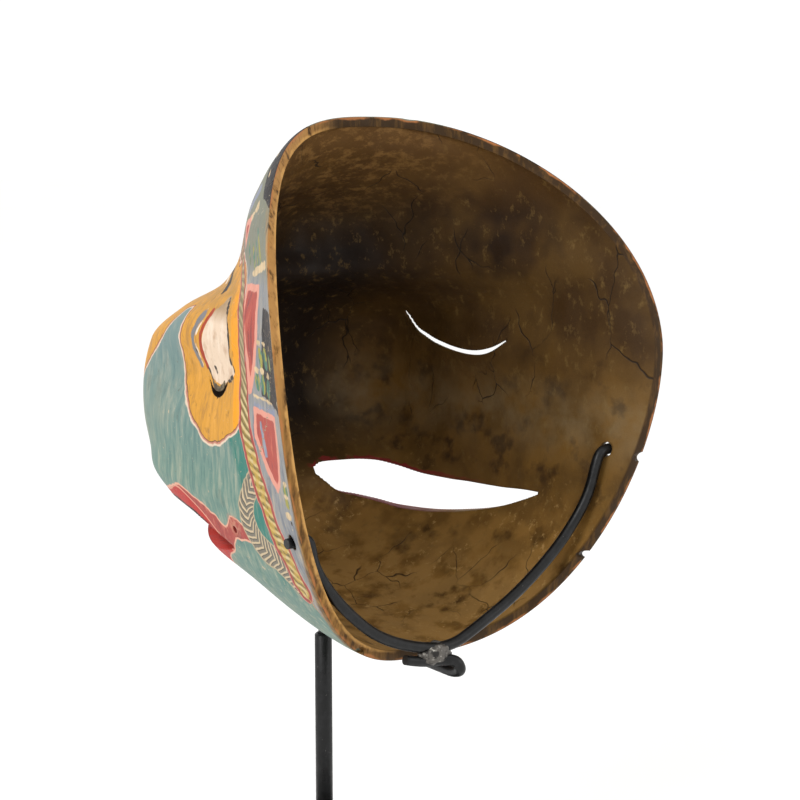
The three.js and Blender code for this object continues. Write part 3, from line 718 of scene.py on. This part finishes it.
# Painted light and shade on the bare wood of the edge: lighter on the left, the lit side, darker everywhere
# else.
lit_left_side = spread((aside, 18, 42))
edge_wood = over(over(linear("#72542a"), "#94723f", (streak, 0.5, 0.66)), "#47310f", (streak, 0.48, 0.36))
edge_wood = over(edge_wood, "#a68152", spread((height_m, 0.25, 0.31), (streak, 0.36, 0.5)), 0.8)
edge_wood = over(over(linear("#33240f"), "#513c1d", (streak, 0.5, 0.66)), edge_wood, lit_left_side)
arris = inside(measure("arris_gap"), 1.0, 0.5)
on_edge = spread(inside(measure("arris_gap", False), 5.4, 0.3),
                 inside(measure("rim_gap", False), 5.0, 0.3))
timber = over(timber, edge_wood, on_edge)
# A tan line along the inner arris on the left: partly wear, partly a painted highlight.
timber = over(timber, "#c09a63", spread(arris, lit_left_side, (speckle(8, 3, seed=5), 0.36, 0.5)), 0.85)
thin_line = spread(inside(measure("rim_gap"), 0.9, 0.4), (speckle(14, 3, seed=13), 0.4, 0.5))
timber = over(timber, "#a5704a", spread(thin_line, on_edge), 0.8)
near_lips, turned = inside(measure("lips", False), 3.0), measure("turned", False)
mouth_wall = spread(near_lips, (skin, 0.03, 0.1), (turned, -60, -35))
lining = spread(band(measure("mouth_top"), 0.8, 1.0), near_lips, inside(turned, -10, 1), (turned, -70, -40),
                (speckle(10, 3), 0.36, 0.46))
timber = over(timber, "#7a2a2c", add(tree, "Math", {0: mouth_wall, 1: lining}, operation="MAXIMUM"))
below = spread((measure("mouth_low"), -2, 0), (measure("mouth_low"), 19, 14), (measure("aside"), 3, 7))
timber = over(timber, scarlet, spread(below, (turned, 80, 70)))
timber = over(timber, "#2a120e", spread(below, band(measure("turned"), 9, 3)), 0.8)

# The paint stops short of the worn edge, and is chipped and grimed all over.
bare_edge = spread(inside(side_gap, 3.2, 1.2), (height_m, 0.372, 0.355))
chips = spread((speckle(2.6, 5, roughness=0.7, seed=15), 0.66, 0.69), (speckle(28, 2, seed=16), 0.5, 0.6))
coats = over(coats, "#cfc5ae", spread((speckle(3.4, 5, roughness=0.7, seed=20), 0.63, 0.66),
                                      (speckle(30, 2, seed=21), 0.48, 0.6)), 0.8)
coats = over(coats, "#6b5332", chips)
coats = over(coats, "#4a4030", (speckle(14, 6, roughness=0.7, seed=25), 0.56, 0.76), 0.35)
coats = add(tree, "MixRGB", {0: 0.95, 1: coats, 2: linear("#e2d3c4")}, blend_type="MULTIPLY")
coats = over(coats, edge_wood, bare_edge)
painted_here = spread((skin, 0.9, 0.98))
timber = add(tree, "MixRGB", {0: 1.0, 1: timber, 2: linear("#fff0d2")}, blend_type="MULTIPLY")
colour = over(timber, coats, painted_here)
bump_height = add(tree, "Math", {0: streak, 1: 0.35}, operation="MULTIPLY")
for layer, depth in ((speckle(1.1, 3), 0.25), (cracked, -0.8), (chips, -0.5)):
    bump_height = add(tree, "Math", {0: layer, 1: depth, 2: bump_height}, operation="MULTIPLY_ADD")
relief_normal = add(tree, "Bump", {"Height": bump_height, "Strength": 0.45, "Distance": 0.0007})
oily = add(tree, "MapRange", {0: speckle(12, 4, seed=30), 1: 0.35, 2: 0.7, 3: 0.55, 4: 0.78})
brushed = add(tree, "MapRange", {0: streak, 1: 0.3, 2: 0.7, 3: 0.45, 4: 0.65})
coat(tree, add(tree, "BsdfPrincipled", {
    "Base Color": colour, "Roughness": over(oily, brushed, painted_here), "Normal": relief_normal,
    "Specular IOR Level": 0.2}))
shell.materials.clear()
shell.materials.append(painted)
for face in shell.polygons:
    face.use_smooth = True
    face.material_index = 0
for v in shell.vertices:
    v.co = (v.co + MIDDLE) / 1000
shell.update()
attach(mask, "mask")
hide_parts("mask_shell")

# --- Hanger -----------------------------------------------------------------------------------
# Two bent mild steel rods, brazed where they cross and sprayed matt black: the cross rod goes out
# through the cord holes, the arm runs under the chin and drops into the post.
ROD = 0.0027
black_paint, tree = material("matt black paint on steel")
place = add(tree, "TexCoord", out=3)
soot = over(linear("#070707"), "#141415", (speckle(4, 4), 0.45, 0.65))
worn = spread((speckle(1.5, 5, roughness=0.7), 0.68, 0.71), (speckle(18, 2, seed=2), 0.52, 0.6))
bare_steel = over(soot, "#a8a49c", worn)
sprayed = add(tree, "MapRange", {0: speckle(3, 4), 1: 0.3, 2: 0.7, 3: 0.26, 4: 0.46})
orange_peel = add(tree, "Bump", {"Height": speckle(0.9, 3), "Strength": 0.3, "Distance": 0.0003})
coat(tree, add(tree, "BsdfPrincipled", {
    "Base Color": bare_steel, "Metallic": worn, "Roughness": sprayed, "Specular IOR Level": 0.3,
    "Normal": orange_peel}))


def rod(name, corners, radius):
    """A round rod bent smoothly through its corners, with chamfered ends."""
    path = bpy.data.curves.new(name, "CURVE")
    path.dimensions, path.bevel_depth, path.bevel_resolution = "3D", radius, 6
    path.resolution_u, path.use_fill_caps = 10, True
    line = path.splines.new("NURBS")
    line.points.add(len(corners) - 1)
    for point, corner in zip(line.points, corners):
        point.co = (*((Vector(corner) + MIDDLE) / 1000), 1)
    line.points[0].radius = line.points[-1].radius = 0.86
    line.order_u, line.use_endpoint_u = 3, True
    drawn_path = bpy.data.objects.new(name, path)
    scene.collection.objects.link(drawn_path)
    bpy.context.view_layer.update()
    mesh = bpy.data.meshes.new_from_object(
        drawn_path.evaluated_get(bpy.context.evaluated_depsgraph_get()))
    bpy.data.objects.remove(drawn_path)
    bm = bmesh.new()
    bm.from_mesh(mesh)
    bmesh.ops.remove_doubles(bm, verts=bm.verts, dist=1e-6)
    bmesh.ops.recalc_face_normals(bm, faces=bm.faces)
    bm.to_mesh(mesh)
    bm.free()
    mesh.materials.clear()
    for face in mesh.polygons:
        face.use_smooth = len(face.vertices) == 4
    return piece(name, mesh, black_paint)


def axle_at(x):
    return (x, -23, -34 - 23 * (x + 100) / 200)


cross = rod("cross_rod_bent", [
    axle_at(-105), axle_at(-98), axle_at(-90.5), (-87.5, -23, -41), (-83, -23, -56), (-74, -24, -70),
    (-60, -24, -84), (-38, -25, -101), (-12, -25, -114), (2, -25, -120), (20, -25, -118), (44, -25, -109),
    (62, -24, -94), (74, -24, -80), (81, -24, -68), (83, -23, -58.5), axle_at(85.5), axle_at(91),
    axle_at(95.5)], ROD)
ARM_Z, POST_Y = -133.2, -138.0
arm = rod("arm_rod_bent", [
    (0, POST_Y, ARM_Z - 51.2), (0, POST_Y, ARM_Z - 9.8), (0, POST_Y, ARM_Z - 4), (0, POST_Y + 4, ARM_Z),
    (0, POST_Y + 9.8, ARM_Z), (0, -60, ARM_Z), (0, -34, ARM_Z), (0, -25, ARM_Z), (0.5, -18.5, ARM_Z + 2.6),
    (3, -19.5, ARM_Z + 8.2), (10, -24, ARM_Z + 8.1), (20, -25.3, ARM_Z + 8.7),
    (29, -25.3, ARM_Z + 11.2)], ROD)

# The braze is a lump of dull silver filler that has run round both rods.
braze, tree = material("dull silver braze")
place = add(tree, "TexCoord", out=3)
filler = over(over(linear("#5d5954"), "#a9a59c", (speckle(2.4, 4), 0.54, 0.68)), "#2c2a28",
              (speckle(3.5, 3, seed=4), 0.47, 0.36))
dulled = add(tree, "MapRange", {0: speckle(2, 3), 1: 0.3, 2: 0.7, 3: 0.3, 4: 0.6})
grainy = add(tree, "Bump", {"Height": speckle(1.4, 4), "Strength": 0.6, "Distance": 0.0006})
coat(tree, add(tree, "BsdfPrincipled", {
    "Base Color": filler, "Metallic": 0.75, "Roughness": dulled, "Normal": grainy}))
BRAZE_AT = Vector((12, -25.2, -121.9))
bm = bmesh.new()
bmesh.ops.create_icosphere(bm, subdivisions=5, radius=1.0)
for v in bm.verts:
    swelling = 1 + 0.16 * noise.noise(v.co * 2.2) + 0.07 * noise.noise(v.co * 6)
    grown = Vector((v.co.x * 9.2, v.co.y * 5.2, v.co.z * 5.7)) * swelling
    v.co = (grown + BRAZE_AT + MIDDLE) / 1000
for face in bm.faces:
    face.smooth = True
mesh = bpy.data.meshes.new("braze_lump")
bm.to_mesh(mesh)
bm.free()
lump = piece("braze_lump", mesh, braze)
for part, node_name, slot in ((cross, "cross_rod", "black_steel"), (arm, "arm_rod", "black_steel"),
                              (lump, "weld_bead", "braze")):
    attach(part, "hanger")
    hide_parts(node_name)

# --- Post and base ----------------------------------------------------------------------------
# A steel tube, bored to take the stem of the arm and screwed from below to a square steel plate,
# both sprayed matt black like the rods.
POST_RADIUS, POST_BORE = 0.0046, 0.0031
low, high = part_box("post_tube")
bm = bmesh.new()
profile = [(POST_BORE, high.z - 0.05), (POST_BORE, high.z - 0.0006), (POST_BORE + 0.0004, high.z),
           (POST_RADIUS - 0.0008, high.z), (POST_RADIUS, high.z - 0.0008), (POST_RADIUS, low.z + 0.0005),
           (POST_RADIUS - 0.0005, low.z), (0, low.z)]
ring = [bm.verts.new((r, 0, z)) for r, z in profile]
edges = [bm.edges.new(pair) for pair in zip(ring, ring[1:])]
floor_point = bm.verts.new((0, 0, high.z - 0.05))
edges.append(bm.edges.new((floor_point, ring[0])))
bmesh.ops.spin(bm, geom=bm.verts[:] + bm.edges[:], cent=(0, 0, 0), axis=(0, 0, 1), angle=math.tau, steps=48,
               use_merge=True)
bmesh.ops.remove_doubles(bm, verts=bm.verts, dist=1e-6)
bmesh.ops.recalc_face_normals(bm, faces=bm.faces)
bmesh.ops.translate(bm, verts=bm.verts, vec=((low.x + high.x) / 2, (low.y + high.y) / 2, 0))
mesh = bpy.data.meshes.new("post_turned")
bm.to_mesh(mesh)
bm.free()
for face in mesh.polygons:
    face.use_smooth = abs(face.normal.z) < 0.3
post = piece("post_turned", mesh, black_paint)
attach(post, "stand")
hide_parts("post_tube")

low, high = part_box("base_plate")
bm = bmesh.new()
bmesh.ops.create_cube(bm, size=1.0)
bmesh.ops.scale(bm, verts=bm.verts, vec=high - low)
bmesh.ops.translate(bm, verts=bm.verts, vec=(low + high) / 2)
upright = [e for e in bm.edges if abs(e.verts[0].co.z - e.verts[1].co.z) > 0.001]
bmesh.ops.bevel(bm, geom=upright, offset=0.004, segments=8, profile=0.5, affect="EDGES", material=-1)
flat = [e for e in bm.edges if abs(e.verts[0].co.z - e.verts[1].co.z) < 1e-6
        and any(abs(f.normal.z) > 0.9 for f in e.link_faces)
        and not all(abs(f.normal.z) > 0.9 for f in e.link_faces)]
bmesh.ops.bevel(bm, geom=flat, offset=0.0009, segments=3, profile=0.5, affect="EDGES", material=-1)
mesh = bpy.data.meshes.new("plate_ground")
bm.to_mesh(mesh)
bm.free()
plate = piece("plate_ground", mesh, black_paint)
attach(plate, "stand")
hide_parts("base_plate")

zinc, tree = material("bright zinc plate")
place = add(tree, "TexCoord", out=3)
plated = over(linear("#b4b6b8"), "#8d9093", (speckle(1.5, 3), 0.4, 0.6))
spangle = add(tree, "MapRange", {0: speckle(2.0, 3), 1: 0.3, 2: 0.7, 3: 0.28, 4: 0.45})
coat(tree, add(tree, "BsdfPrincipled", {"Base Color": plated, "Metallic": 1.0, "Roughness": spangle}))
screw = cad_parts["base_screw"]
screw.data.materials.clear()
screw.data.materials.append(zinc)

# The pad under the plate is 1.5 mm pressed wool felt, glued on.
felt, tree = material("black pressed wool felt")
place = add(tree, "TexCoord", out=3)
fibre = speckle(0.7, 5, roughness=0.8)
dyed = over(linear("#1d1d1f"), "#3b3a3c", (fibre, 0.42, 0.66))
nap = add(tree, "Bump", {"Height": fibre, "Strength": 0.8, "Distance": 0.0005})
coat(tree, add(tree, "BsdfPrincipled", {
    "Base Color": dyed, "Roughness": 0.95, "Sheen Weight": 0.4, "Sheen Roughness": 0.6, "Normal": nap}))
low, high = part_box("base_felt")
bm = bmesh.new()
bmesh.ops.create_cube(bm, size=1.0)
bmesh.ops.scale(bm, verts=bm.verts, vec=high - low)
bmesh.ops.translate(bm, verts=bm.verts, vec=(low + high) / 2)
upright = [e for e in bm.edges if abs(e.verts[0].co.z - e.verts[1].co.z) > 0.001]
bmesh.ops.bevel(bm, geom=upright, offset=0.004, segments=6, profile=0.5, affect="EDGES", material=-1)
mesh = bpy.data.meshes.new("felt_pad")
bm.to_mesh(mesh)
bm.free()
pad = piece("felt_pad", mesh, felt)
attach(pad, "stand")
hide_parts("base_felt")
